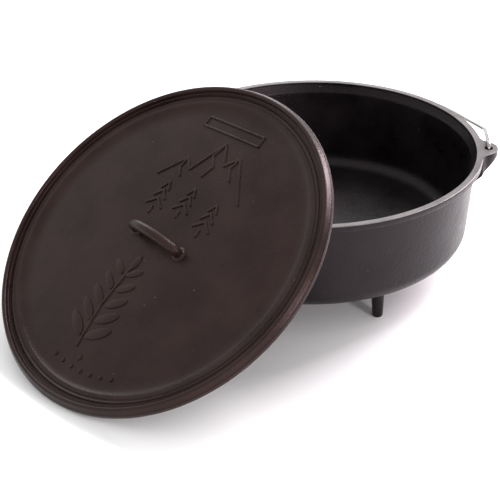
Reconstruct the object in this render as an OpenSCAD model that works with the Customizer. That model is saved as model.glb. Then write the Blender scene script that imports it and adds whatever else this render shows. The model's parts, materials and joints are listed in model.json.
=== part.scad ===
// Camp dutch oven: a three-legged cast iron pot, its rimmed lid leaning on the pot's
// rim, and a wire bail folded back behind the pot.
//
// Millimetres, +Z up.  The origin is on the ground under the pot's centre, and the two
// ears lie along X.  The lid stands on the ground in front of the pot, to its left.

/* [Pot] */
// Inside radius of the pot's mouth
mouth_r = 203.2; // [160:0.1:250]
// Width of the ground face on top of the rim
rim_w = 8.7; // [6:0.1:12]
// Thickness of the rim band
rim_band = 7.5; // [5:0.5:12]
// Height of the rim above the ground
rim_top = 161.2; // [120:0.1:220]
// How far the wall stands in from the rim's outside, just under the rim
wall_inset = 9.2; // [5:0.1:14]
// How far the wall leans in from top to bottom
wall_taper = 9.5; // [0:0.1:16]
// Thickness of the side wall
wall_t = 5.5; // [4:0.1:8]
// Thickness of the floor
floor_t = 6; // [4:0.1:10]
// Outside radius of the corner between wall and floor
corner_r = 24.5; // [12:0.1:40]

/* [Legs] */
// Height of the legs, from the ground to the pot's underside
leg_h = 40.2; // [25:0.1:60]
// Distance from a leg's flare in to the edge of the pot's flat underside
leg_inset = 0.5; // [0:0.1:40]
// Radius of a leg just under its flare
leg_top_r = 8.2; // [6:0.1:12]
// Radius of a leg just above its rounded foot
leg_foot_r = 6.4; // [4:0.1:10]
// Turn of the three legs about the pot's axis
leg_turn = -58; // [-90:1:90]

/* [Ears] */
// Radius of the rounded end of an ear
ear_r = 22; // [18:0.5:26]
// How far an ear stands out past the rim
ear_reach = 17.5; // [14:0.5:24]
// Thickness of an ear's plate
ear_t = 5; // [4:0.1:7]
// Radius of the hollow corners between ear and rim
ear_fillet = 12; // [6:0.5:18]
// How far the corbel runs down the wall
corbel_h = 32; // [24:1:50]
// Air between the bail's wire and the edge of the hole in an ear
eye_play = 2.8; // [2.4:0.1:4]
// Distance from the hole's centre to the ear's end
eye_edge = 11.4; // [10:0.1:14]

/* [Bail] */
// Diameter of the bail's wire
wire_d = 4.8; // [4:0.1:5.4]
// Air between the hook's end and the ear's underside when the bail stands up
hook_gap = 0.46; // [0.3:0.02:1]
// How far the bail swings up from where it rests
bail_swing = 94; // [80:1:98]
// Length of the straight arm between hook and shoulder
arm_l = 52; // [30:1:60]
// Turn of the shoulder bend
shoulder_turn = 24; // [15:1:30]
// Radius of the shoulder bend
shoulder_r = 16; // [10:1:30]
// Air between the pot's rim and the middle of the folded bail
bail_clear = 16.7; // [8:0.1:30]
// Half the length of the straight middle
middle_half = 40; // [20:1:70]
// Air between the folded bail and the rear edge of each ear
bail_rest = 0.42; // [0.3:0.02:1]

/* [Lid] */
// How far the lid's edge stands out past the pot's rim, all round
lid_overhang = 2.9; // [1:0.1:6]
// Thickness of the lip
lip_t = 6.1; // [4:0.1:9]
// Height of the lid's edge, from the lip's top to the seat that rests on the rim
edge_h = 11.8; // [9:0.1:20]
// How far the lip leans in from the seat to its top
edge_flare = 3.2; // [0:0.1:6]
// Depth of the ledge inside the lip
ledge_depth = 7; // [4:0.1:9]
// Thickness of the lid's plate
plate_t = 6.2; // [4:0.1:9]
// Depth of the plate's top below the lip at its edge
plate_depth = 9.4; // [6:0.1:12]
// How much the plate's middle rises above its edge
crown = 5.6; // [0:0.1:10]
// Gap between the lid's locating ring and the pot's mouth
ring_gap = 2.2; // [1:0.1:4]
// Height of the locating ring under the seat
ring_h = 5; // [3:0.1:8]

/* [Lid handle] */
// Half the distance between the middles of the handle's feet
handle_half = 38; // [30:0.5:50]
// Diameter of the handle's round bar
handle_d = 12; // [9:0.5:15]
// Height of the middle of the bar above its feet
handle_rise = 25; // [22:0.5:34]
// Radius of the hollow flare where a handle's foot meets the plate
handle_flare = 3; // [1.5:0.1:4]
// Least height of the flat bosses under the handle's feet
boss_h = 0.4; // [0.2:0.1:2]
// Turn of the handle's line on the lid
handle_turn = -3.5; // [-10:0.5:10]

/* [Lean] */
// Tilt of the lid from lying flat
lid_tilt = 36.5; // [30:0.1:45]
// Direction that the leaning lid faces, seen from above
lid_facing = 228.4; // [200:0.1:250]
// Sideways distance of the lid's middle from the line that it faces along
lid_aside = 6.6; // [-20:0.1:20]
// Air between the lid's underside and the pot's rim where the lid leans
lean_gap = 0.25; // [0.1:0.05:0.5]

/* [Hidden] */
$fn = 96;

IRON = [0.14, 0.13, 0.14];
SEASONED = [0.24, 0.20, 0.20];
ZINC = [0.80, 0.80, 0.80];

// ---- pot
rim_r = mouth_r + rim_w;
rim_edge = 1.2;                              // rounding of the rim's edges
past = 1;                                    // how far a cut runs on past the face it opens
band_under = 4;                              // height of the slope under the rim band
wall_top_r = rim_r - wall_inset;             // wall outside, under the rim band
wall_top_z = rim_top - rim_band - band_under;
wall_foot_r = wall_top_r - wall_taper;       // wall outside, carried on to the underside
wall_lean = atan(wall_taper / (wall_top_z - leg_h));
flat_r = wall_foot_r + corner_r * tan(wall_lean) - corner_r / cos(wall_lean);
mouth_land = 4.5;                            // depth of the straight bore inside the mouth
bore_top_z = rim_top - 14;                   // the inside runs parallel to the wall below

// ---- legs
leg_flare = 3;
leg_foot_round = 2.6;
leg_at = flat_r - leg_inset - leg_top_r - leg_flare;

// ---- ears
ear_end = rim_r + ear_reach;
ear_x = ear_end - ear_r;                     // centre of the rounded end
eye_x = ear_end - eye_edge;
fillet_x = (pow(rim_r + ear_fillet, 2) + ear_x * ear_x - pow(ear_r + ear_fillet, 2)) / (2 * ear_x);
fillet_y = sqrt(pow(rim_r + ear_fillet, 2) - fillet_x * fillet_x);
pocket_side = 1.2;                           // air each side of the hook in its pocket

// ---- bail
wire_r = wire_d / 2;
eye_r = wire_r + eye_play;
hook_end = 36;                               // turn of the hook past level, under the ear
hook_r = (ear_t / 2 + wire_r + hook_gap) / sin(180 - hook_end - bail_swing);
hinge_y = hook_r;
hinge_z = rim_top - ear_t / 2;
// The folded bail droops below level until its arms meet the ears' rear edges
ear_back = sqrt(ear_r * ear_r - pow(eye_x - ear_x, 2)) - hinge_y;
bail_droop = asin((hook_r - wire_r - bail_rest) / norm([ear_back, ear_t / 2])) - atan(ear_t / 2 / ear_back);
reach = (rim_r + bail_clear + wire_r - hinge_y - hook_r * sin(bail_droop)) / cos(bail_droop);
arm_end = arm_l + shoulder_r * sin(shoulder_turn);
arm_in = eye_x - shoulder_r * (1 - cos(shoulder_turn));
turn_k = (1 - sin(shoulder_turn)) / cos(shoulder_turn);
// The straight side is as long as the reach leaves between the shoulder and the far bend
side_l = (reach - arm_end - turn_k * (arm_in - middle_half))
         / (cos(shoulder_turn) - turn_k * sin(shoulder_turn));
side_in = arm_in - side_l * sin(shoulder_turn);
side_out = arm_end + side_l * cos(shoulder_turn);
arc_r = (side_in - middle_half) / cos(shoulder_turn);

// ---- lid
lid_edge_r = rim_r + lid_overhang;
lip_r = lid_edge_r - edge_flare;
seat_z = -edge_h;
seat_round = 1;                              // rounding of the lid's bottom edge
ledge_r = lip_r - lip_t;
bead_r = ledge_r - 5.4;                      // outer foot of the raised bead
bead_in_r = bead_r - 11;                     // inner edge of the bead
plate_r = bead_in_r - 8.5;                   // where the crowned plate starts
ring_r = mouth_r - ring_gap;
ring_t = 5;
crown_r = crown > 0 ? (plate_r * plate_r + crown * crown) / (2 * crown) : 1e5;
plate_top = -plate_depth;
// Height of the plate's crowned top above its edge, at a distance r from the centre
function rise(r) = sqrt(crown_r * crown_r - r * r) - (crown_r - crown);

// ---- where the lid leans
tilt_k = sin(lid_tilt) + cos(lid_tilt) - 1;  // how far a rounding of 1 falls short of its corner
lid_mid_z = lid_edge_r * sin(lid_tilt) + edge_h * cos(lid_tilt) - seat_round * tilt_k;
lean_at = (rim_top - lid_mid_z) / sin(lid_tilt) + (plate_t + plate_depth - crown) / tan(lid_tilt);
lean_depth = plate_t + plate_depth - rise(lean_at) + lean_gap - rim_edge * tilt_k;
lid_out = rim_r + ((rim_top - lid_mid_z) * cos(lid_tilt) + lean_depth) / sin(lid_tilt);

// ---- the lid's handle: short posts, a tight corner on each, and one wide arc over the top
corner_bend = 12;
post_h = 1.5;
foot_r = handle_d / 2 + handle_flare;
foot_z = plate_top + rise(handle_half - foot_r) + boss_h;
boss_edge = 1;                               // how far a boss shows round its foot
arch_k = (handle_rise - handle_flare - post_h - corner_bend) / (handle_half - corner_bend);
corner_turn = 90 - 2 * atan(arch_k);
top_bend = (handle_half - corner_bend * (1 - cos(corner_turn))) / cos(corner_turn);

// Points of an arc about a centre, from one angle to another
function arc(cx, cy, r, from, to, n = 8) =
    [for (i = [0 : n]) let (a = from + (to - from) * i / n) [cx + r * cos(a), cy + r * sin(a)]];

// ------------------------------------------------------------------ pot

// Outside of the pot as a profile of radius and height, from the underside's centre up
function pot_outside() =
    concat([[0, leg_h]],
           arc(flat_r, leg_h + corner_r, corner_r, -90, -wall_lean, 10),
           [[wall_top_r, wall_top_z]],
           [[rim_r - 0.8, rim_top - rim_band]],
           arc(rim_r - rim_edge, rim_top - rim_edge, rim_edge, 0, 90, 4));

// Inside of the pot, from the rim down to the floor's centre
function pot_inside() = let (slope = tan(wall_lean), r = corner_r - wall_t)
    let (foot = wall_foot_r - wall_t / cos(wall_lean) + floor_t * slope)
    let (cx = foot + r * slope - r / cos(wall_lean))
    let (top = wall_foot_r + (bore_top_z - leg_h) * slope - wall_t / cos(wall_lean))
    concat(arc(mouth_r + rim_edge, rim_top - rim_edge, rim_edge, 90, 180, 4),
           [[mouth_r - 0.3, rim_top - mouth_land]],
           [[top + 0.6, bore_top_z + 3]],
           [[top, bore_top_z]],
           arc(cx, leg_h + floor_t + r, r, -wall_lean, -90, 10),
           [[0, leg_h + floor_t]]);

module pot_shell() {
    color(IRON) rotate_extrude() polygon(concat(pot_outside(), pot_inside()));
}

// Everything inside the pot's outer surface, filled and carried on past the rim, so that
// what it cuts never ends in the same plane as the cut
module pot_filled() {
    rotate_extrude()
        polygon(concat(pot_outside(), [[rim_r - rim_edge, rim_top + past], [0, rim_top + past]]));
}

// ------------------------------------------------------------------ ears

// Outline of an ear as a block of a given height, reaching into the pot's wall
module ear_block(z0, h) {
    translate([0, 0, z0]) difference() {
        union() {
            translate([ear_x, 0, 0]) cylinder(h = h, r = ear_r);
            linear_extrude(height = h) polygon(ear_root());
        }
        for (s = [-1, 1]) translate([fillet_x, s * fillet_y, -past])
            cylinder(h = h + 2 * past, r = ear_fillet);
    }
}

function ear_root() = let (k = ear_r / (ear_r + ear_fillet), q = rim_r / (rim_r + ear_fillet))
    let (neck = [ear_x + (fillet_x - ear_x) * k, fillet_y * k])
    let (root = [fillet_x * q, fillet_y * q], back = wall_foot_r - 12)
    [[back, -root[1]], [root[0], -root[1]], [neck[0], -neck[1]],
     [neck[0], neck[1]], [root[0], root[1]], [back, root[1]]];

// The corbel under an ear, cut off along a slope from the ear's end to the wall
module corbel() {
    slope = atan((corbel_h - ear_t) / (ear_end - wall_top_r + 2));
    difference() {
        ear_block(rim_top - corbel_h - 2, corbel_h + 1);
        translate([ear_end, 0, rim_top - ear_t - 0.2])
            rotate([0, 90 - slope, 0])
            translate([0, -50, -100]) cube([100, 100, 200]);
        // pocket that the hook swings in
        translate([eye_x - wire_r - pocket_side, -wire_r - pocket_side, rim_top - corbel_h - 3])
            cube([wire_d + 2 * pocket_side,
                  2 * (hook_r + wire_r + pocket_side), corbel_h + 3 - ear_t]);
    }
}

module ear() {
    color(IRON) difference() {
        union() {
            ear_block(rim_top - ear_t, ear_t);
            corbel();
        }
        pot_filled();
        translate([eye_x, 0, rim_top - ear_t - past]) cylinder(h = ear_t + 2 * past, r = eye_r);
    }
}

module ear_right() { ear(); }

module ear_left() { mirror([1, 0, 0]) ear(); }

// ------------------------------------------------------------------ legs

// A tapered leg with a flared top and a rounded foot
module leg(turn) {
    color(IRON) rotate([0, 0, turn]) translate([leg_at, 0, 0]) rotate_extrude()
        polygon(concat([[0, 0]],
                       arc(leg_foot_r - leg_foot_round, leg_foot_round, leg_foot_round, -90, 0, 5),
                       arc(leg_top_r + leg_flare, leg_h - leg_flare, leg_flare, 180, 90, 6),
                       [[0, leg_h]]));
}

module leg_front() { leg(leg_turn); }

module leg_back() { leg(leg_turn + 120); }

module leg_left() { leg(leg_turn + 240); }

// ------------------------------------------------------------------ bail

// A round bar through a list of rings: [centre, two unit vectors across the bar, radius]
module round_bar(rings, sides) {
    last = len(rings) - 1;
    points = [for (g = rings, i = [0 : sides - 1]) let (t = 360 * i / sides)
              g[0] + g[3] * (cos(t) * g[1] + sin(t) * g[2])];
    walls = [for (k = [0 : last - 1], i = [0 : sides - 1]) let (j = (i + 1) % sides)
             [k * sides + i, k * sides + j, (k + 1) * sides + j, (k + 1) * sides + i]];
    caps = [[for (i = [sides - 1 : -1 : 0]) i], [for (i = [0 : sides - 1]) last * sides + i]];
    polyhedron(points, concat(walls, caps));
}

// Rings along an arc in the plane across Z: starts along +Y at angle 0, turns towards -X
function flat_arc(cx, cy, r, from, to, z, bar_r, n) =
    [for (i = [0 : n]) let (t = from + (to - from) * i / n, out = [cos(t), sin(t), 0])
     [[cx, cy, z] + r * out, out, [0, 0, 1], bar_r]];

// Right half of the bail in its own plane, from the hook's end to the straight middle
function half_bail() = let (last = 90 + 90 + hook_end + bail_droop)
    let (arc_x = side_in - arc_r * cos(shoulder_turn), arc_y = side_out - arc_r * sin(shoulder_turn))
    concat([for (t = [0 : 0.5 : 1]) let (tip = wire_r * (1 - t) / hook_r * 57.3)
            let (out = [0, cos(last + tip), sin(last + tip)])
            [[eye_x, 0, 0] + hook_r * out, [1, 0, 0], out, max(0.9, wire_r * sqrt(1 - pow(1 - t, 2)))]],
           [for (i = [1 : 14]) let (w = last + (90 - last) * i / 14, out = [0, cos(w), sin(w)])
            [[eye_x, 0, 0] + hook_r * out, [1, 0, 0], out, wire_r]],
           flat_arc(eye_x - shoulder_r, arm_l, shoulder_r, 0, shoulder_turn, hook_r, wire_r, 5),
           flat_arc(arc_x, arc_y, arc_r, shoulder_turn, 90, hook_r, wire_r, 12));

// A ring seen in a mirror across the middle of the object
function mirrored(g) = [[-g[0][0], g[0][1], g[0][2]], [-g[1][0], g[1][1], g[1][2]],
                        [-g[2][0], g[2][1], g[2][2]], g[3]];

module bail_wire() {
    right = half_bail();
    last = len(right) - 1;
    color(ZINC) translate([0, hinge_y, hinge_z]) rotate([-bail_droop, 0, 0])
        round_bar(concat(right, [for (i = [last : -1 : 0]) mirrored(right[i])]), 16);
}

// ------------------------------------------------------------------ lid

// Lid profile of radius and height, with the lip's top at height 0
function lid_top() = let (lip = lip_t / 2)
    concat([[0, plate_top + rise(0)]],
           [for (i = [1 : 12]) let (r = plate_r * i / 12) [r, plate_top + rise(r)]],
           [[plate_r + 4, plate_top + 0.9]],
           arc(bead_in_r + 1.8, -ledge_depth - 0.6, 1.8, 150, 90, 3),
           [[bead_r - 5.6, -ledge_depth + 1.2]],
           [[bead_r - 4.6, -ledge_depth + 0.3]],
           [[bead_r - 3.6, -ledge_depth + 0.3]],
           arc(bead_r - 1.6, -ledge_depth + 0.2, 1.2, 140, 20, 4),
           [[bead_r + 0.4, -ledge_depth]],
           arc(ledge_r - 1.2, -ledge_depth + 1.2, 1.2, -90, 0, 3),
           arc(ledge_r + lip, -lip + 0.2, lip - 0.2, 180, 10, 8));

function lid_under() =
    concat([[lid_edge_r - 1.1, seat_z + 5.2]],
           [[lid_edge_r - 0.6, seat_z + 4.6]],
           arc(lid_edge_r - seat_round, seat_z + seat_round, seat_round, 0, -90, 3),
           [[ring_r, seat_z]],
           [[ring_r - 0.6, seat_z - ring_h]],
           [[ring_r - ring_t, seat_z - ring_h]],
           [[plate_r - 2, plate_top - plate_t]],
           [for (i = [11 : -1 : 1]) let (r = plate_r * i / 12) [r, plate_top + rise(r) - plate_t]],
           [[0, plate_top + rise(0) - plate_t]]);

// Puts a piece of the lid where the lid leans
module leaning() {
    rotate([0, 0, lid_facing]) translate([lid_out, lid_aside, lid_mid_z])
        rotate([0, lid_tilt, 0]) rotate([0, 0, 90]) children();
}

module lid_solid() {
    rotate_extrude() polygon(concat(lid_top(), lid_under()));
}

// Flat-topped bosses, rooted in the plate, that the handle's feet stand on
module handle_bosses() {
    rotate([0, 0, handle_turn]) for (s = [-1, 1])
        translate([s * handle_half, 0, foot_z - plate_t / 2])
        cylinder(h = plate_t / 2, r = foot_r + boss_edge);
}

module lid_plate() {
    color(SEASONED) leaning() union() {
        lid_solid();
        handle_bosses();
    }
}

// Right half of the handle's arch: a foot that flares on to the plate, a corner, half the top
function half_handle() = let (bar = handle_d / 2, foot = handle_flare)
    concat([for (i = [0 : 4]) let (h = foot * i / 4)
            [[handle_half, 0, h], [1, 0, 0], [0, 1, 0], bar + foot - sqrt(foot * foot - pow(foot - h, 2))]],
           [for (i = [0 : 7]) let (t = corner_turn * i / 7, out = [cos(t), 0, sin(t)])
            [[handle_half - corner_bend, 0, post_h + foot] + corner_bend * out, out, [0, 1, 0], bar]],
           [for (i = [1 : 5]) let (t = corner_turn + (90 - corner_turn) * i / 5, out = [cos(t), 0, sin(t)])
            [[0, 0, handle_rise - top_bend] + top_bend * out, out, [0, 1, 0], bar]]);

module lid_handle() {
    right = half_handle();
    last = len(right) - 1;
    color(SEASONED) leaning() translate([0, 0, foot_z]) rotate([0, 0, handle_turn])
        round_bar(concat(right, [for (i = [last - 1 : -1 : 0]) mirrored(right[i])]), 24);
}

pot_shell();
ear_right();
ear_left();
leg_front();
leg_back();
leg_left();
bail_wire();
lid_plate();
lid_handle();
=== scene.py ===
"""Looks of a three-legged cast iron camp dutch oven with its lid leaning on the rim.

The pot, its ears and legs, the wire bail, and the lid with its loop handle are each a
class.  Sizes are in metres, written as millimetres times MM.  Places come from the frame.
"""

import json
import logging
import math
from dataclasses import dataclass
from enum import Enum

import bmesh
import bpy
from mathutils import Matrix, Vector


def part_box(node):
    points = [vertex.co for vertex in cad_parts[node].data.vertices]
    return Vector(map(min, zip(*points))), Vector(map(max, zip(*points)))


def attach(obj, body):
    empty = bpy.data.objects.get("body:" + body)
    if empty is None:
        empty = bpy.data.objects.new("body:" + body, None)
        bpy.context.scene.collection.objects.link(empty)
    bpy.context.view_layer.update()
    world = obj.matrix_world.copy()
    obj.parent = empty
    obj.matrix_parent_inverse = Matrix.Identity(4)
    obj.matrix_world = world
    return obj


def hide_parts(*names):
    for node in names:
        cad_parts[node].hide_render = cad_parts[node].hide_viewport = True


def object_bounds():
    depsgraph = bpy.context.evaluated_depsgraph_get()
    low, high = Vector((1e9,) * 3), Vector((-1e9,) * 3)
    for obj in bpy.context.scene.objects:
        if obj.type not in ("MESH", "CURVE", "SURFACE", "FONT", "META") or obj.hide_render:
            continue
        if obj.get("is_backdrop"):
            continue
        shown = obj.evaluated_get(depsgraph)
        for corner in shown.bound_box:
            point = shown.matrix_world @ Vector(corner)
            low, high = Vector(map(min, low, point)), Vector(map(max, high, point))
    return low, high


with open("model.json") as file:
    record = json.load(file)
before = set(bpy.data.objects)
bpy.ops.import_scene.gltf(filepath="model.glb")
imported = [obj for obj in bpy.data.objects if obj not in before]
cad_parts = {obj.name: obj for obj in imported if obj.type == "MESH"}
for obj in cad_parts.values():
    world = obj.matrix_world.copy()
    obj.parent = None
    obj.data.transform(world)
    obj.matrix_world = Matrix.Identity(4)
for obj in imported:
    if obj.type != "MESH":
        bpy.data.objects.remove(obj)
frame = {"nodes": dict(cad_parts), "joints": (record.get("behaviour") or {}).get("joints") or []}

LOG = logging.getLogger("camp_oven")
MM = 0.001
MERGE = 1e-6                     # two points nearer than this are one
WELD = 10 * MERGE                # the same, where a copied mesh or a mirror's seam is closed
GRAIN_HEIGHT = 0.4 * MM          # height of the cast grain at full strength
SPECK = (0.42, 0.38, 0.36, 1.0)  # colour of a bare grain
SPIN_STEPS = 192                 # steps of a full turn on the wide castings
CREASE = math.radians(38)        # an edge sharper than this is shown as an edge

Point2 = tuple[float, float]
Colour = tuple[float, float, float]


class Face(Enum):
    """Which finish a face of a casting takes, by its place in the material slots."""

    CAST = 0
    SECOND = 1


# ---------------------------------------------------------------- shader groups

def group_socket(group: bpy.types.NodeTree, name: str, kind: str, way: str,
                 value: float | None = None) -> None:
    """Adds one named socket to a shader group.

    Args:
        group: The node group.
        name: The socket's name.
        kind: Float or Vector.
        way: INPUT or OUTPUT.
        value: The default of a float input.
    """
    made = group.interface.new_socket(name=name, in_out=way, socket_type=f"NodeSocket{kind}")
    if value is not None:
        made.default_value = value


def sand_grain_group() -> bpy.types.NodeTree:
    """The pebbly skin that a sand mould leaves on iron.

    Returns:
        A group that takes a Vector and a Size, and puts out Height and Mottle.
    """
    group = bpy.data.node_groups.new("sand_grain", "ShaderNodeTree")
    group_socket(group, "Vector", "Vector", "INPUT")
    group_socket(group, "Size", "Float", "INPUT", 600.0)
    group_socket(group, "Height", "Float", "OUTPUT")
    group_socket(group, "Mottle", "Float", "OUTPUT")
    nodes, links = group.nodes, group.links
    start, end = nodes.new("NodeGroupInput"), nodes.new("NodeGroupOutput")

    fine = nodes.new("ShaderNodeTexNoise")
    fine.inputs["Detail"].default_value = 5.0
    fine.inputs["Roughness"].default_value = 0.62
    pebble = nodes.new("ShaderNodeTexVoronoi")
    pebble.feature = "SMOOTH_F1"
    pebble.inputs["Smoothness"].default_value = 0.6
    both = nodes.new("ShaderNodeMath")
    both.operation = "MULTIPLY_ADD"
    both.inputs[1].default_value = -0.45
    swell = nodes.new("ShaderNodeTexNoise")
    swell.inputs["Scale"].default_value = 150.0
    swell.inputs["Detail"].default_value = 2.0
    uneven = nodes.new("ShaderNodeMath")
    uneven.operation = "MULTIPLY_ADD"
    uneven.inputs[1].default_value = 0.5
    patches = nodes.new("ShaderNodeTexNoise")
    patches.inputs["Scale"].default_value = 14.0
    patches.inputs["Detail"].default_value = 6.0
    patches.inputs["Roughness"].default_value = 0.6
    spread = nodes.new("ShaderNodeMapRange")
    spread.inputs["From Min"].default_value = 0.34
    spread.inputs["From Max"].default_value = 0.68

    for texture in (fine, pebble, patches, swell):
        links.new(start.outputs["Vector"], texture.inputs["Vector"])
    for texture in (fine, pebble):
        links.new(start.outputs["Size"], texture.inputs["Scale"])
    links.new(pebble.outputs["Distance"], both.inputs[0])
    links.new(fine.outputs["Fac"], both.inputs[2])
    links.new(swell.outputs["Fac"], uneven.inputs[0])
    links.new(both.outputs["Value"], uneven.inputs[2])
    links.new(uneven.outputs["Value"], end.inputs["Height"])
    links.new(patches.outputs["Fac"], spread.inputs["Value"])
    links.new(spread.outputs["Result"], end.inputs["Mottle"])
    return group


def speck_group() -> bpy.types.NodeTree:
    """Sparse pale specks of dust and bare grains.

    Returns:
        A group that takes a Vector, a Size and a Share, and puts out a Mask.
    """
    group = bpy.data.node_groups.new("pale_specks", "ShaderNodeTree")
    group_socket(group, "Vector", "Vector", "INPUT")
    group_socket(group, "Size", "Float", "INPUT", 420.0)
    group_socket(group, "Share", "Float", "INPUT", 0.05)
    group_socket(group, "Mask", "Float", "OUTPUT")
    nodes, links = group.nodes, group.links
    start, end = nodes.new("NodeGroupInput"), nodes.new("NodeGroupOutput")

    cells = nodes.new("ShaderNodeTexVoronoi")
    ragged = nodes.new("ShaderNodeTexNoise")
    ragged.inputs["Scale"].default_value = 1800.0
    worn = nodes.new("ShaderNodeMath")
    worn.operation = "MULTIPLY_ADD"
    worn.inputs[1].default_value = 0.25
    near = nodes.new("ShaderNodeMapRange")
    near.inputs["From Min"].default_value = 0.34
    near.inputs["From Max"].default_value = 0.20
    pick = nodes.new("ShaderNodeSeparateColor")
    chosen = nodes.new("ShaderNodeMath")
    chosen.operation = "LESS_THAN"
    mask = nodes.new("ShaderNodeMath")
    mask.operation = "MULTIPLY"

    links.new(start.outputs["Vector"], cells.inputs["Vector"])
    links.new(start.outputs["Size"], cells.inputs["Scale"])
    links.new(start.outputs["Vector"], ragged.inputs["Vector"])
    links.new(ragged.outputs["Fac"], worn.inputs[0])
    links.new(cells.outputs["Distance"], worn.inputs[2])
    links.new(worn.outputs["Value"], near.inputs["Value"])
    links.new(cells.outputs["Color"], pick.inputs["Color"])
    links.new(pick.outputs["Red"], chosen.inputs[0])
    links.new(start.outputs["Share"], chosen.inputs[1])
    links.new(near.outputs["Result"], mask.inputs[0])
    links.new(chosen.outputs["Value"], mask.inputs[1])
    links.new(mask.outputs["Value"], end.inputs["Mask"])
    return group


@dataclass
class ShaderKit:
    """The shader groups that the finishes share."""

    sand_grain: bpy.types.NodeTree
    specks: bpy.types.NodeTree

    @classmethod
    def build(cls) -> "ShaderKit":
        """Builds each group once."""
        return cls(sand_grain_group(), speck_group())


# ---------------------------------------------------------------- finishes

@dataclass(frozen=True)
class Finish:
    """One metal surface: its two tones, its gloss and the depth of its grain."""

    name: str
    dark: Colour
    light: Colour
    gloss: tuple[float, float]           # roughness of the dark and of the light patches
    grain: float                         # size of the grain, as a texture scale
    depth: float                         # strength of the grain's bump
    metal: float = 0.0
    speck_share: float = 0.0
    shine: float = 0.5                   # specular level
    tint: Colour = (1.0, 1.0, 1.0)       # colour of the shine

    def build(self, kit: ShaderKit) -> bpy.types.Material:
        """Makes the material.

        Args:
            kit: The shared shader groups.

        Returns:
            The new material.
        """
        material = bpy.data.materials.new(self.name)
        material.use_nodes = True
        nodes, links = material.node_tree.nodes, material.node_tree.links
        shader = nodes["Principled BSDF"]
        shader.inputs["Metallic"].default_value = self.metal
        shader.inputs["Specular IOR Level"].default_value = self.shine
        shader.inputs["Specular Tint"].default_value = (*self.tint, 1.0)

        place = nodes.new("ShaderNodeTexCoord")
        skin = nodes.new("ShaderNodeGroup")
        skin.node_tree = kit.sand_grain
        skin.inputs["Size"].default_value = self.grain
        links.new(place.outputs["Object"], skin.inputs["Vector"])

        tone = nodes.new("ShaderNodeMix")
        tone.data_type = "RGBA"
        tone.inputs["A"].default_value = (*self.dark, 1.0)
        tone.inputs["B"].default_value = (*self.light, 1.0)
        links.new(skin.outputs["Mottle"], tone.inputs["Factor"])
        colour = tone.outputs["Result"]
        if self.speck_share:
            colour = self._add_specks(nodes, links, kit, place, colour)
        links.new(colour, shader.inputs["Base Color"])

        gloss = nodes.new("ShaderNodeMapRange")
        gloss.inputs["To Min"].default_value, gloss.inputs["To Max"].default_value = self.gloss
        links.new(skin.outputs["Mottle"], gloss.inputs["Value"])
        links.new(gloss.outputs["Result"], shader.inputs["Roughness"])

        bump = nodes.new("ShaderNodeBump")
        bump.inputs["Strength"].default_value = self.depth
        bump.inputs["Distance"].default_value = GRAIN_HEIGHT
        links.new(skin.outputs["Height"], bump.inputs["Height"])
        links.new(bump.outputs["Normal"], shader.inputs["Normal"])
        return material

    def _add_specks(self, nodes: bpy.types.Nodes, links: bpy.types.NodeLinks, kit: ShaderKit,
                    place: bpy.types.Node, colour: bpy.types.NodeSocket) -> bpy.types.NodeSocket:
        """Lays pale specks over a colour and returns the new colour's socket."""
        specks = nodes.new("ShaderNodeGroup")
        specks.node_tree = kit.specks
        specks.inputs["Share"].default_value = self.speck_share
        links.new(place.outputs["Object"], specks.inputs["Vector"])
        over = nodes.new("ShaderNodeMix")
        over.data_type = "RGBA"
        over.inputs["B"].default_value = SPECK
        links.new(specks.outputs["Mask"], over.inputs["Factor"])
        links.new(colour, over.inputs["A"])
        return over.outputs["Result"]


POT_IRON = Finish("pot_cast_iron", (0.0030, 0.0022, 0.0028), (0.0105, 0.0082, 0.0094), (0.26, 0.44),
                  430.0, 0.85, speck_share=0.004, shine=0.24, tint=(1.0, 0.86, 0.92))
LID_IRON = Finish("lid_cast_iron", (0.0085, 0.0042, 0.0038), (0.0205, 0.0114, 0.0102), (0.22, 0.38),
                  560.0, 0.70, speck_share=0.002, shine=0.26, tint=(1.0, 0.72, 0.70))
# Rim-top finish: the rim's top is bare iron from grinding, but its light grey also holds a painted
# reflection of the white surround; on the ears' tops it is painted sheen only.
GROUND_RIM_AND_SHEEN = Finish("rim_top_iron_and_painted_sheen", (0.09, 0.081, 0.081), (0.20, 0.182, 0.182), (0.34, 0.52),
                    900.0, 0.45, metal=0.75)
ZINC_WIRE = Finish("zinc_wire", (0.24, 0.24, 0.23), (0.44, 0.44, 0.425), (0.20, 0.34),
                   1400.0, 0.10, metal=1.0)


# ---------------------------------------------------------------- mesh helpers

def arc(centre: Point2, radius: float, start: float, end: float, steps: int) -> list[Point2]:
    """Points along an arc of a profile.

    Args:
        centre: The arc's centre.
        radius: Its radius.
        start: Its first angle, in degrees.
        end: Its last angle, in degrees.
        steps: How many stretches it is cut into.

    Returns:
        The points, both ends among them.
    """
    turns = [math.radians(start + (end - start) * i / steps) for i in range(steps + 1)]
    return [(centre[0] + radius * math.cos(t), centre[1] + radius * math.sin(t)) for t in turns]


def lathe(profile: list[Point2], steps: int = SPIN_STEPS) -> bmesh.types.BMesh:
    """Spins a profile of radius and height a full turn about Z.

    Args:
        profile: The points, which start and end on the axis.
        steps: The number of steps in the turn.

    Returns:
        A closed mesh with its faces outwards.
    """
    bm = bmesh.new()
    verts = [bm.verts.new((r, 0.0, z)) for r, z in profile]
    edges = [bm.edges.new(pair) for pair in zip(verts, verts[1:])]
    bmesh.ops.spin(bm, geom=verts + edges, cent=(0, 0, 0), axis=(0, 0, 1), dvec=(0, 0, 0),
                   angle=math.tau, steps=steps, use_merge=True, use_normal_flip=False,
                   use_duplicate=False)
    bmesh.ops.remove_doubles(bm, verts=bm.verts, dist=MERGE)
    bmesh.ops.recalc_face_normals(bm, faces=bm.faces)
    return bm


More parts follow.
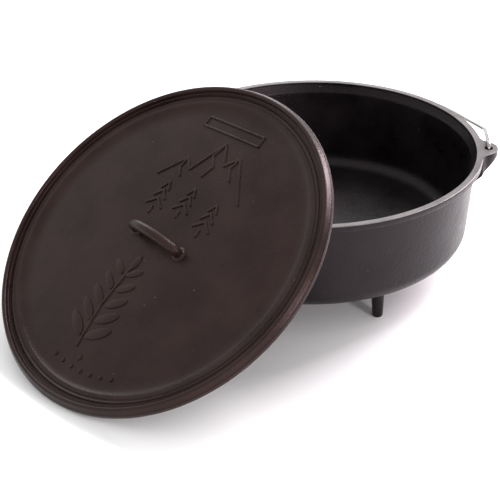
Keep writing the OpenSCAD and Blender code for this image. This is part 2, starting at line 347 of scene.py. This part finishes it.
def bevelled(bm: bmesh.types.BMesh, edges: list[bmesh.types.BMEdge], width: float,
             segments: int) -> None:
    """Rounds some edges of a mesh."""
    bmesh.ops.bevel(bm, geom=edges, offset=width, offset_type="OFFSET", segments=segments,
                    profile=0.5, affect="EDGES", material=-1, clamp_overlap=True)


def piece(bm: bmesh.types.BMesh, name: str, finishes: list[bpy.types.Material], body: str,
          nodes: tuple[str, ...] = ()) -> bpy.types.Object:
    """Turns a finished mesh into a piece of the object.

    Args:
        bm: The mesh, in place; it is used up.
        name: The piece's name.
        finishes: Its materials.
        body: The body that it rides on.
        nodes: The nodes that it stands for.

    Returns:
        The new object.
    """
    for face in bm.faces:
        face.smooth = True
    for edge in bm.edges:
        edge.smooth = edge.calc_face_angle(0.0) < CREASE
    mesh = bpy.data.meshes.new(name)
    bm.to_mesh(mesh)
    bm.free()
    for finish in finishes:
        mesh.materials.append(finish)
    made = bpy.data.objects.new(name, mesh)
    bpy.context.scene.collection.objects.link(made)
    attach(made, body)
    if nodes:
        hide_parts(*nodes)
    LOG.info("%s: %d faces, rides on %s", name, len(mesh.polygons), body)
    return made


class Bar:
    """A round bar drawn by one ring that is pushed straight on or swung about a centre."""

    def __init__(self, centre: Vector, along: Vector, radius: float, sides: int) -> None:
        """Starts the bar with a ring across it.

        Args:
            centre: The ring's centre.
            along: The way that the bar sets off.
            radius: The bar's radius.
            sides: The number of sides.
        """
        self.bm = bmesh.new()
        self.centre = centre.copy()
        turn = Vector((0, 0, 1)).rotation_difference(along).to_matrix().to_4x4()
        bmesh.ops.create_circle(self.bm, cap_ends=False, segments=sides, radius=radius,
                                matrix=Matrix.Translation(centre) @ turn)
        self.verts, self.edges = list(self.bm.verts), list(self.bm.edges)

    def _keep(self, geometry: list) -> None:
        """Remembers the newest ring."""
        self.verts = [g for g in geometry if isinstance(g, bmesh.types.BMVert)]
        self.edges = [g for g in geometry if isinstance(g, bmesh.types.BMEdge)]

    def straight(self, offset: Vector, scale: float = 1.0) -> None:
        """Pushes the ring straight on.

        Args:
            offset: How far, and which way.
            scale: The new ring's size against the last.
        """
        out = bmesh.ops.extrude_edge_only(self.bm, edges=self.edges)["geom"]
        fresh = {g for g in out if isinstance(g, bmesh.types.BMVert)}
        self._keep([*fresh, *[e for e in self.bm.edges if set(e.verts) <= fresh]])
        bmesh.ops.translate(self.bm, vec=offset, verts=self.verts)
        self.centre = self.centre + offset
        bmesh.ops.scale(self.bm, vec=(scale,) * 3, verts=self.verts,
                        space=Matrix.Translation(-self.centre))

    def bend(self, pivot: Vector, axis: Vector, angle: float, steps: int) -> None:
        """Swings the ring about a centre.

        Args:
            pivot: A point on the axis of the turn.
            axis: The axis.
            angle: How far it turns, in degrees.
            steps: The number of steps in the turn.
        """
        turn = math.radians(angle)
        out = bmesh.ops.spin(self.bm, geom=self.verts + self.edges, cent=pivot, axis=axis,
                             dvec=(0, 0, 0), angle=turn, steps=steps, use_merge=False,
                             use_normal_flip=False, use_duplicate=False)["geom_last"]
        self._keep(out)
        self.centre = Matrix.Rotation(turn, 3, axis) @ (self.centre - pivot) + pivot

    def rounded_end(self, along: Vector, radius: float, steps: int = 5) -> None:
        """Closes the bar with a half ball.

        Args:
            along: The way that the end points.
            radius: The bar's radius.
            steps: The number of rings in the half ball.
        """
        size, far = 1.0, 0.0
        for i in range(1, steps):
            turn = math.radians(90 * i / steps)
            self.straight(along * radius * (math.sin(turn) - far), math.cos(turn) / size)
            size, far = math.cos(turn), math.sin(turn)
        bmesh.ops.edgeloop_fill(self.bm, edges=self.edges)

    def mirrored(self) -> bmesh.types.BMesh:
        """Adds the mirror image across X = 0, joined in the middle, and hands the mesh over."""
        bmesh.ops.mirror(self.bm, geom=[*self.bm.verts, *self.bm.edges, *self.bm.faces],
                         axis="X", merge_dist=WELD)
        bmesh.ops.remove_doubles(self.bm, verts=self.bm.verts, dist=MERGE)
        bmesh.ops.recalc_face_normals(self.bm, faces=self.bm.faces)
        return self.bm


# ---------------------------------------------------------------- pot

@dataclass
class Pot:
    """The pot's bowl, its two ears and its three legs, which are one casting."""

    iron: bpy.types.Material
    # the rim-top finish: bare iron from grinding plus painted sheen
    bare_rim_and_sheen: bpy.types.Material
    rim_width: float = 8.7 * MM
    rim_band: float = 7.5 * MM
    band_under: float = 4.0 * MM
    rim_edge: float = 1.2 * MM
    wall_inset: float = 9.2 * MM
    wall_taper: float = 9.5 * MM
    wall: float = 5.5 * MM
    floor: float = 6.0 * MM
    corner: float = 24.5 * MM
    leg_flare: float = 3.0 * MM
    leg_foot_round: float = 2.6 * MM
    leg_top: float = 8.2 * MM
    leg_foot: float = 6.4 * MM
    mouth_land: float = 4.5 * MM
    bore_drop: float = 14.0 * MM
    ear_round: float = 0.7 * MM

    def __post_init__(self) -> None:
        """Takes the rim's size and place, and the underside, from the frame."""
        low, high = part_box("pot_shell")
        self.rim_r, self.rim_top, self.under = high.x, high.z, low.z
        self.wall_top_r = self.rim_r - self.wall_inset
        self.wall_top_z = self.rim_top - self.rim_band - self.band_under
        self.foot_r = self.wall_top_r - self.wall_taper
        self.lean = math.atan(self.wall_taper / (self.wall_top_z - self.under))

    def outside(self) -> list[Point2]:
        """The outer profile, from the underside's centre up to the rim."""
        flat = self.foot_r + self.corner * (math.tan(self.lean) - 1 / math.cos(self.lean))
        edge, lean = self.rim_edge, math.degrees(self.lean)
        return [(0.0, self.under),
                *arc((flat, self.under + self.corner), self.corner, -90, -lean, 14),
                (self.wall_top_r, self.wall_top_z),
                (self.wall_top_r + 1.2 * MM, self.wall_top_z + 0.5 * MM),
                (self.rim_r - 1.4 * MM, self.rim_top - self.rim_band - 0.7 * MM),
                (self.rim_r - 0.8 * MM, self.rim_top - self.rim_band),
                *arc((self.rim_r - edge, self.rim_top - edge), edge, 0, 90, 6)]

    def inside(self) -> list[Point2]:
        """The inner profile, from the rim down to the floor's centre."""
        slope, radius = math.tan(self.lean), self.corner - self.wall
        skin = self.wall / math.cos(self.lean)
        bore_top = self.rim_top - self.bore_drop
        mouth, edge = self.rim_r - self.rim_width, self.rim_edge
        top = self.foot_r + (bore_top - self.under) * slope - skin
        foot = self.foot_r - skin + self.floor * slope
        centre = (foot + radius * (slope - 1 / math.cos(self.lean)), self.under + self.floor + radius)
        return [*arc((mouth + edge, self.rim_top - edge), edge, 90, 180, 6),
                (mouth - 0.3 * MM, self.rim_top - self.mouth_land),
                (top + 0.6 * MM, bore_top + 3.0 * MM),
                (top, bore_top),
                *arc(centre, radius, -math.degrees(self.lean), -90, 14),
                (0.0, self.under + self.floor)]

    def build_bowl(self) -> None:
        """Spins the bowl and gives the rim's top its light finish: bare iron from grinding, lightened
        with a painted reflection.
        """
        bm = lathe(self.outside() + self.inside())
        for face in bm.faces:
            # The rim's top faces take the light finish; its grey is partly bare iron and partly
            # painted reflection.
            level = face.calc_center_median().z > self.rim_top - 0.5 * self.rim_edge
            face.material_index = (Face.SECOND if level else Face.CAST).value
        piece(bm, "pot_bowl", [self.iron, self.bare_rim_and_sheen], "pot", ("pot_shell",))

    def build_ear(self, node: str) -> None:
        """Rounds an ear's cast edges and gives its upward-facing top the rim's light finish, as
        painted sheen.

        Args:
            node: The ear's node.
        """
        bm = bmesh.new()
        bm.from_mesh(frame["nodes"][node].data)
        bmesh.ops.remove_doubles(bm, verts=bm.verts, dist=WELD)
        bmesh.ops.dissolve_limit(bm, angle_limit=math.radians(1.0), verts=bm.verts, edges=bm.edges,
                                 use_dissolve_boundaries=False)
        outer = [e for e in bm.edges if e.calc_face_angle(0.0) > CREASE
                 and min(v.co.xy.length for v in e.verts) > self.rim_r + MM]
        bevelled(bm, outer, self.ear_round, 2)
        for face in bm.faces:
            # Upward-facing top faces are painted lighter, as sheen from the bright surround.
            level = face.normal.z > 0.9 and face.calc_center_median().z > self.rim_top - MM
            face.material_index = (Face.SECOND if level else Face.CAST).value
        piece(bm, f"{node}_cast", [self.iron, self.bare_rim_and_sheen], "pot", (node,))

    def build_leg(self, node: str) -> None:
        """Spins a tapered leg and stands it where its node is.

        Args:
            node: The leg's node.
        """
        low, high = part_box(node)
        foot_r, flare, top = self.leg_foot_round, self.leg_flare, self.under
        bm = lathe([(0.0, 0.0),
                    *arc((self.leg_foot - foot_r, foot_r), foot_r, -90, 0, 6),
                    *arc((self.leg_top + flare, top - flare), flare, 180, 90, 7),
                    (0.0, top)], steps=48)
        centre = (low + high) / 2
        bmesh.ops.translate(bm, vec=(centre.x, centre.y, 0.0), verts=bm.verts)
        piece(bm, f"{node}_cast", [self.iron], "pot", (node,))

    def build(self) -> None:
        """Builds the bowl, the ears and the legs."""
        self.build_bowl()
        for node in ("ear_right", "ear_left"):
            self.build_ear(node)
        for node in ("leg_front", "leg_back", "leg_left"):
            self.build_leg(node)


# ---------------------------------------------------------------- bail

@dataclass
class Bail:
    """The bright wire bail, hooked through both ears and folded back."""

    zinc: bpy.types.Material
    wire: float = 2.4 * MM
    arm: float = 52.0 * MM
    shoulder_turn: float = 24.0
    shoulder: float = 16.0 * MM
    middle_half: float = 40.0 * MM
    hook_end: float = 36.0               # turn of the hook past level, under the ear
    droop: float = 8.0                   # fall of the folded bail below level
    sides: int = 20

    def build(self) -> None:
        """Bends one half from hook to middle, mirrors it, and folds it back."""
        hinge = Vector(next(j for j in frame["joints"] if j["name"] == "bail_swing")["pos_m"])
        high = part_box("bail_wire")[1]
        hook, eye = hinge.y, high.x - self.wire
        droop, turn = math.radians(self.droop), math.radians(self.shoulder_turn)
        reach = (high.y - self.wire - hinge.y - hook * math.sin(droop)) / math.cos(droop)
        squeeze = (1 - math.sin(turn)) / math.cos(turn)
        arm_end = self.arm + self.shoulder * math.sin(turn)
        arm_in = eye - self.shoulder * (1 - math.cos(turn))
        side = ((reach - arm_end - squeeze * (arm_in - self.middle_half))
                / (math.cos(turn) - squeeze * math.sin(turn)))
        side_in = arm_in - side * math.sin(turn)
        side_out = arm_end + side * math.cos(turn)
        far_r = (side_in - self.middle_half) / math.cos(turn)

        last = math.radians(180 + self.hook_end + self.droop)
        out = Vector((0, math.cos(last), math.sin(last)))
        tip_way = Vector((0, -math.sin(last), math.cos(last)))
        start = Vector((eye, 0, 0)) + out * hook
        bar = Bar(start, -tip_way, self.wire, self.sides)
        first = (list(bar.verts), list(bar.edges), bar.centre.copy())
        bar.rounded_end(tip_way, self.wire)
        bar.verts, bar.edges, bar.centre = first
        bar.bend(Vector((eye, 0, 0)), Vector((1, 0, 0)), -(90 + self.hook_end + self.droop), 26)
        bar.straight(Vector((0, self.arm, 0)))
        bar.bend(Vector((eye - self.shoulder, self.arm, hook)), Vector((0, 0, 1)),
                 self.shoulder_turn, 8)
        bar.straight(Vector((side_in - arm_in, side_out - arm_end, 0)))
        far = Vector((self.middle_half, side_out - far_r * math.sin(turn), hook))
        bar.bend(far, Vector((0, 0, 1)), 90 - self.shoulder_turn, 36)
        bar.straight(Vector((-self.middle_half, 0, 0)))
        bm = bar.mirrored()
        bmesh.ops.rotate(bm, cent=(0, 0, 0), matrix=Matrix.Rotation(-droop, 3, "X"), verts=bm.verts)
        bmesh.ops.translate(bm, vec=hinge, verts=bm.verts)
        piece(bm, "bail_bright_wire", [self.zinc], "bail", ("bail_wire",))


# ---------------------------------------------------------------- lid

@dataclass
class Lid:
    """The lid: a crowned plate inside a lip, plain reliefs, and a loop handle.  Turns in degrees."""

    iron: bpy.types.Material
    pot: Pot
    overhang: float = 2.9 * MM
    edge_h: float = 11.8 * MM
    edge_flare: float = 3.2 * MM
    seat_round: float = 1.0 * MM
    lip: float = 6.1 * MM
    ledge_depth: float = 7.0 * MM
    plate: float = 6.2 * MM
    plate_depth: float = 9.4 * MM
    crown: float = 5.6 * MM
    ring_gap: float = 2.2 * MM
    ring_h: float = 5.0 * MM
    ring_t: float = 5.0 * MM
    tilt: float = 36.5
    facing: float = 228.4
    aside: float = 6.6 * MM
    lean_gap: float = 0.25 * MM
    handle_half: float = 38.0 * MM
    handle_r: float = 6.0 * MM
    handle_rise: float = 25.0 * MM
    handle_flare: float = 3.0 * MM
    handle_post: float = 1.5 * MM
    handle_corner: float = 12.0 * MM
    handle_root: float = 1.0 * MM        # how far a foot reaches down into the plate
    boss: float = 0.4 * MM               # how far the handle's feet stand above the plate
    handle_turn: float = -3.5

    def __post_init__(self) -> None:
        """Works out the lid's radii, its crown and where it leans."""
        self.edge_r = self.pot.rim_r + self.overhang
        self.lip_r = self.edge_r - self.edge_flare
        self.ledge_r = self.lip_r - self.lip
        self.bead_r = self.ledge_r - 5.4 * MM
        self.bead_in_r = self.bead_r - 11.0 * MM
        self.plate_r = self.bead_in_r - 8.5 * MM
        self.crown_r = (self.plate_r ** 2 + self.crown ** 2) / (2 * self.crown)
        tilt = math.radians(self.tilt)
        sine, cosine = math.sin(tilt), math.cos(tilt)
        short = sine + cosine - 1
        middle_z = self.edge_r * sine + self.edge_h * cosine - self.seat_round * short
        above = self.pot.rim_top - middle_z
        lean_at = above / sine + (self.plate + self.plate_depth - self.crown) / math.tan(tilt)
        depth = (self.plate + self.plate_depth - self.rise(lean_at) + self.lean_gap
                 - self.pot.rim_edge * short)
        out = self.pot.rim_r + (above * cosine + depth) / sine
        self.place = (Matrix.Rotation(math.radians(self.facing), 4, "Z")
                      @ Matrix.Translation((out, self.aside, middle_z))
                      @ Matrix.Rotation(tilt, 4, "Y") @ Matrix.Rotation(math.pi / 2, 4, "Z"))

    def rise(self, radius: float) -> float:
        """How far the crowned plate stands above its own edge at a radius."""
        return math.sqrt(self.crown_r ** 2 - radius ** 2) - (self.crown_r - self.crown)

    def surface(self, x: float, y: float) -> float:
        """Height of the plate's top at a place on it."""
        return self.rise(math.hypot(x, y)) - self.plate_depth

    def top(self) -> list[Point2]:
        """The upper profile, from the plate's centre out over the lip."""
        lip, deep = self.lip / 2, -self.ledge_depth
        rings = [self.plate_r * i / 24 for i in range(25)]
        return [*[(r, self.rise(r) - self.plate_depth) for r in rings],
                (self.plate_r + 4 * MM, -self.plate_depth + 0.9 * MM),
                *arc((self.bead_in_r + 1.8 * MM, deep - 0.6 * MM), 1.8 * MM, 150, 90, 4),
                (self.bead_r - 5.6 * MM, deep + 1.2 * MM),
                (self.bead_r - 4.6 * MM, deep + 0.3 * MM),
                (self.bead_r - 3.6 * MM, deep + 0.3 * MM),
                *arc((self.bead_r - 1.6 * MM, deep + 0.2 * MM), 1.2 * MM, 140, 20, 6),
                (self.bead_r + 0.4 * MM, deep),
                *arc((self.ledge_r - 1.2 * MM, deep + 1.2 * MM), 1.2 * MM, -90, 0, 4),
                *arc((self.ledge_r + lip, 0.2 * MM - lip), lip - 0.2 * MM, 180, 10, 12)]

    def under(self) -> list[Point2]:
        """The lower profile, from the lip's outside in to the plate's centre."""
        seat, edge = -self.edge_h, self.seat_round
        ring = self.pot.rim_r - self.pot.rim_width - self.ring_gap
        rings = [self.plate_r * i / 24 for i in range(23, -1, -1)]
        return [(self.edge_r - 1.1 * MM, seat + 5.4 * MM),
                (self.edge_r - 1.35 * MM, seat + 5.0 * MM),
                (self.edge_r - 0.6 * MM, seat + 4.5 * MM),
                *arc((self.edge_r - edge, seat + edge), edge, 0, -90, 5),
                (ring, seat),
                (ring - 0.6 * MM, seat - self.ring_h),
                (ring - self.ring_t, seat - self.ring_h),
                (self.plate_r - 2 * MM, -self.plate_depth - self.plate),
                *[(r, self.rise(r) - self.plate_depth - self.plate) for r in rings]]

    def leaning(self, bm: bmesh.types.BMesh) -> bmesh.types.BMesh:
        """Moves a mesh from the lid's own frame to where the lid leans."""
        bmesh.ops.transform(bm, matrix=self.place, verts=bm.verts)
        return bm

    def build_plate(self) -> None:
        """Spins the lid."""
        bm = self.leaning(lathe(self.top() + self.under(), steps=SPIN_STEPS))
        piece(bm, "lid_casting", [self.iron], "lid", ("lid_plate",))

    def build_handle(self) -> None:
        """Bends the low round-bar loop and spreads its feet on to the plate."""
        flare, bar_r, corner = self.handle_flare, self.handle_r, self.handle_corner
        room = self.handle_rise - flare - self.handle_post - corner
        turn = 90 - 2 * math.degrees(math.atan(room / (self.handle_half - corner)))
        spread = self.handle_half - corner * (1 - math.cos(math.radians(turn)))
        top_r = spread / math.cos(math.radians(turn))
        root = Vector((self.handle_half, 0, -self.handle_root))
        bar = Bar(root, Vector((0, 0, 1)), bar_r + flare, 32)
        size, steps = bar_r + flare, 6
        bmesh.ops.edgeloop_fill(bar.bm, edges=bar.edges)
        bar.straight(Vector((0, 0, self.handle_root)))
        for i in range(1, steps + 1):
            height = flare * i / steps
            wide = bar_r + flare - math.sqrt(flare ** 2 - (flare - height) ** 2)
            bar.straight(Vector((0, 0, flare / steps)), wide / size)
            size = wide
        bar.straight(Vector((0, 0, self.handle_post)))
        post = self.handle_post + flare
        bar.bend(Vector((self.handle_half - corner, 0, post)), Vector((0, 1, 0)), -turn, 12)
        bar.bend(Vector((0, 0, self.handle_rise - top_r)), Vector((0, 1, 0)), turn - 90, 14)
        bm = bar.mirrored()
        foot = self.surface(self.handle_half - bar_r - flare, 0) + self.boss
        bmesh.ops.rotate(bm, cent=(0, 0, 0), verts=bm.verts,
                         matrix=Matrix.Rotation(math.radians(self.handle_turn), 3, "Z"))
        bmesh.ops.translate(bm, vec=(0, 0, foot), verts=bm.verts)
        piece(self.leaning(bm), "lid_loop_handle", [self.iron], "lid", ("lid_handle",))

    def build(self) -> None:
        """Builds the lid's plate, handle and reliefs."""
        self.build_plate()
        self.build_handle()
        Reliefs(self).build()


@dataclass
class Reliefs:
    """Plain cast reliefs on the lid's plate: hills and pines, a sprig, a strip and dots."""

    lid: Lid
    line_width: float = 3.0 * MM
    line_height: float = 1.5 * MM
    sunk: float = 0.8 * MM               # how far a relief's root reaches into the plate
    pad_height: float = 1.4 * MM

    def ridge(self, bm: bmesh.types.BMesh, points: list[Point2]) -> None:
        """Raises a narrow ridge along a line, in straight strokes with round ends.

        Args:
            bm: The mesh that takes it.
            points: The line's points on the plate.
        """
        for (x0, y0), (x1, y1) in zip(points, points[1:]):
            long = math.hypot(x1 - x0, y1 - y0)
            turn = math.degrees(math.atan2(y1 - y0, x1 - x0))
            self.stroke(bm, ((x0 + x1) / 2, (y0 + y1) / 2), long, turn)

    def stroke(self, bm: bmesh.types.BMesh, centre: Point2, long: float, turn: float) -> None:
        """Raises one straight stroke.

        Args:
            bm: The mesh that takes it.
            centre: The stroke's middle on the plate.
            long: The length between the middles of its round ends.
            turn: The turn of its length, in degrees.
        """
        half, steps = self.line_width / 2, max(1, round(long / (3 * MM)))
        side = [(-long / 2 + long * i / steps, -half) for i in range(steps + 1)]
        end = arc((long / 2, 0.0), half, -90, 90, 8)[1:-1]
        loop = [*side, *end]
        loop += [(-x, -y) for x, y in loop]
        matrix = (Matrix.Translation((*centre, -self.sunk))
                  @ Matrix.Rotation(math.radians(turn), 4, "Z"))
        self._raise_face(bm, [matrix @ Vector((x, y, 0)) for x, y in loop], self.line_height)

    def _raise_face(self, bm: bmesh.types.BMesh, loop: list[Vector], height: float) -> None:
        """Raises a relief from its outline on the plate and rounds its top."""
        known = set(bm.verts)
        face = bm.faces.new([bm.verts.new(point) for point in loop])
        out = bmesh.ops.extrude_face_region(bm, geom=[face], use_keep_orig=True)["geom"]
        top = [g for g in out if isinstance(g, bmesh.types.BMVert)]
        bmesh.ops.translate(bm, vec=(0, 0, self.sunk + height), verts=top)
        self._round_top(bm, known, height * 0.6, height)

    def _round_top(self, bm: bmesh.types.BMesh, known: set[bmesh.types.BMVert], width: float,
                   height: float) -> None:
        """Rounds the top edges of the newest relief, which are none of the known points."""
        edges = [e for e in bm.edges if not known.intersection(e.verts)
                 and all(v.co.z > height - MERGE for v in e.verts)
                 and e.calc_face_angle(0.0) > CREASE]
        bevelled(bm, edges, width, 2)

    def pad(self, bm: bmesh.types.BMesh, centre: Point2, half: Point2, turn: float,
            sides: int = 28) -> None:
        """Raises a low oval pad, or a diamond when it has four sides.

        Args:
            bm: The mesh that takes it.
            centre: The pad's middle on the plate.
            half: Half its length and half its width.
            turn: The turn of its length, in degrees.
            sides: The number of points round it.
        """
        matrix = (Matrix.Translation((*centre, -self.sunk))
                  @ Matrix.Rotation(math.radians(turn), 4, "Z"))
        loop = [matrix @ Vector((half[0] * math.cos(a), half[1] * math.sin(a), 0))
                for a in (math.tau * i / sides for i in range(sides))]
        self._raise_face(bm, loop, self.pad_height)

    def hills(self, bm: bmesh.types.BMesh) -> None:
        """A skyline of three peaks with a few plain folds below it."""
        lines = [[(-66, 74), (-40, 106), (-27, 94), (-3, 140), (14, 114), (28, 130), (66, 78)],
                 [(-3, 140), (-9, 120), (1, 108), (-5, 92)],
                 [(28, 130), (24, 114), (34, 100)],
                 [(-40, 106), (-42, 92), (-34, 82)]]
        for line in lines:
            self.ridge(bm, [(x * MM, y * MM) for x, y in line])

    def pine(self, bm: bmesh.types.BMesh, foot: Point2, size: float) -> None:
        """A plain pine: three spreading tiers over a trunk.

        Args:
            bm: The mesh that takes it.
            foot: The bottom of the trunk.
            size: The pine's height.
        """
        x, y = foot
        self.ridge(bm, [(x, y), (x, y + 0.18 * size)])
        for low, wide in ((0.22, 0.27), (0.48, 0.20), (0.74, 0.13)):
            base, tip = y + low * size, y + (low + 0.22) * size
            self.ridge(bm, [(x - wide * size, base), (x, tip), (x + wide * size, base)])

    def sprig(self, bm: bmesh.types.BMesh) -> None:
        """A stem with pairs of oval leaves that shrink towards its tip."""
        foot, tip, pairs = -148 * MM, -44 * MM, 5
        self.ridge(bm, [(-12 * MM, foot), (-16 * MM, (foot + tip) / 2), (-10 * MM, tip)])
        for i in range(pairs):
            share = (i + 0.6) / pairs
            y = foot + (tip - foot) * share
            long = (19 - 8 * share) * MM
            for side in (-1, 1):
                centre = (-13 * MM + side * (long + 4 * MM) * 0.82, y + long * 0.55)
                self.pad(bm, centre, (long, 0.36 * long), 90 - side * 55)
        self.pad(bm, (-8 * MM, tip + 10 * MM), (11 * MM, 4.4 * MM), 82)

    def strip(self, bm: bmesh.types.BMesh) -> None:
        """A blank framed strip near the plate's upper edge."""
        left, right, low, high = -52 * MM, 38 * MM, 152 * MM, 165 * MM
        self.ridge(bm, [(left, low), (right, low), (right, high), (left, high), (left, low)])

    def marks(self, bm: bmesh.types.BMesh) -> None:
        """A row of plain dots along the lower edge, with a diamond over them."""
        radius, count = 171 * MM, 7
        for i in range(count):
            turn = math.radians(-101 + 5.2 * i)
            self.pad(bm, (radius * math.cos(turn), radius * math.sin(turn)), (2.6 * MM, 2.6 * MM), 0)
        self.pad(bm, (2 * MM, -158 * MM), (4.2 * MM, 4.2 * MM), 0, sides=4)

    def build(self) -> None:
        """Raises every relief, drapes them on the crowned plate and leans them with the lid."""
        bm = bmesh.new()
        self.hills(bm)
        for foot, size in (((-40, 26), 46), ((0, 34), 42), ((42, 24), 46)):
            self.pine(bm, (foot[0] * MM, foot[1] * MM), size * MM)
        self.sprig(bm)
        self.strip(bm)
        self.marks(bm)
        for vert in bm.verts:
            vert.co.z += self.lid.surface(vert.co.x, vert.co.y)
        bmesh.ops.recalc_face_normals(bm, faces=bm.faces)
        piece(self.lid.leaning(bm), "lid_reliefs", [self.lid.iron], "lid")


# ---------------------------------------------------------------- studio

@dataclass(frozen=True)
class SoftBox:
    """One soft square lamp, aimed at a point."""

    name: str
    place: tuple[float, float, float]
    size: float
    power: float
    colour: Colour = (1.0, 1.0, 1.0)

    def build(self, aim: Vector) -> None:
        """Hangs the lamp.

        Args:
            aim: The point that it shines at.
        """
        lamp = bpy.data.lights.new(self.name, "AREA")
        lamp.shape, lamp.size, lamp.energy = "SQUARE", self.size, self.power
        lamp.color = self.colour
        made = bpy.data.objects.new(self.name, lamp)
        made.location = self.place
        made.rotation_euler = (aim - Vector(self.place)).to_track_quat("-Z", "Y").to_euler()
        bpy.context.scene.collection.objects.link(made)


@dataclass
class Studio:
    """A pale floor, a white surround, soft lamps and the camera."""

    lens: float = 100.8
    camera_place: tuple[float, float, float] = (0.0550, -1.5752, 0.9083)
    camera_azimuth: float = 4.889        # turn of the view from +Y towards -X
    camera_fall: float = 29.57           # how far the view looks down
    camera_roll: float = -1.445
    floor_half: float = 6.0
    surround: float = 1.0

    def build_camera(self) -> None:
        """Makes the camera and sets it as the scene's."""
        data = bpy.data.cameras.new("camera")
        data.lens, data.sensor_width = self.lens, 36.0
        camera = bpy.data.objects.new("camera", data)
        camera.matrix_world = (Matrix.Translation(self.camera_place)
                               @ Matrix.Rotation(math.radians(self.camera_azimuth), 4, "Z")
                               @ Matrix.Rotation(math.radians(90 - self.camera_fall), 4, "X")
                               @ Matrix.Rotation(math.radians(self.camera_roll), 4, "Z"))
        bpy.context.scene.collection.objects.link(camera)
        bpy.context.scene.camera = camera

    def build_floor(self) -> None:
        """Lays the pale floor."""
        bm = bmesh.new()
        bmesh.ops.create_grid(bm, x_segments=1, y_segments=1, size=self.floor_half)
        mesh = bpy.data.meshes.new("floor")
        bm.to_mesh(mesh)
        bm.free()
        material = bpy.data.materials.new("pale_floor")
        material.use_nodes = True
        shader = material.node_tree.nodes["Principled BSDF"]
        shader.inputs["Base Color"].default_value = (0.90, 0.90, 0.90, 1.0)
        shader.inputs["Roughness"].default_value = 0.9
        mesh.materials.append(material)
        floor = bpy.data.objects.new("floor", mesh)
        bpy.context.scene.collection.objects.link(floor)
        floor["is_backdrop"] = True

    def build(self) -> None:
        """Builds the surround, the floor, the lamps and the camera."""
        world = bpy.data.worlds.new("surround")
        world.use_nodes = True
        world.node_tree.nodes["Background"].inputs["Color"].default_value = (1, 1, 1, 1)
        world.node_tree.nodes["Background"].inputs["Strength"].default_value = self.surround
        bpy.context.scene.world = world
        self.build_floor()
        low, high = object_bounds()
        aim = (low + high) / 2
        SoftBox("key", (1.1, 0.9, 1.6), 0.9, 36.0).build(aim)
        SoftBox("back", (-0.5, 1.9, 1.4), 1.6, 18.0).build(aim)
        flank = SoftBox("flank", (0.95, 0.70, 0.55), 0.45, 16.0, (1.0, 0.84, 0.93))
        flank.build(Vector((0.50, 0.20, 0.0)))
        front = SoftBox("low", (0.80, -0.95, 0.45), 0.22, 5.0, (1.0, 0.90, 0.96))
        front.build(Vector((-0.02, -0.42, 0.05)))
        bpy.context.scene.view_settings.view_transform = "Standard"
        self.build_camera()


def main() -> None:
    """Builds the oven's looks round the frame."""
    logging.basicConfig(level=logging.INFO, format="%(name)s: %(message)s")
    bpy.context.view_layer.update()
    kit = ShaderKit.build()
    pot_iron, lid_iron = POT_IRON.build(kit), LID_IRON.build(kit)
    pot = Pot(pot_iron, GROUND_RIM_AND_SHEEN.build(kit))
    pot.build()
    Bail(ZINC_WIRE.build(kit)).build()
    Lid(lid_iron, pot).build()
    Studio().build()


if __name__ == "__main__":
    main()
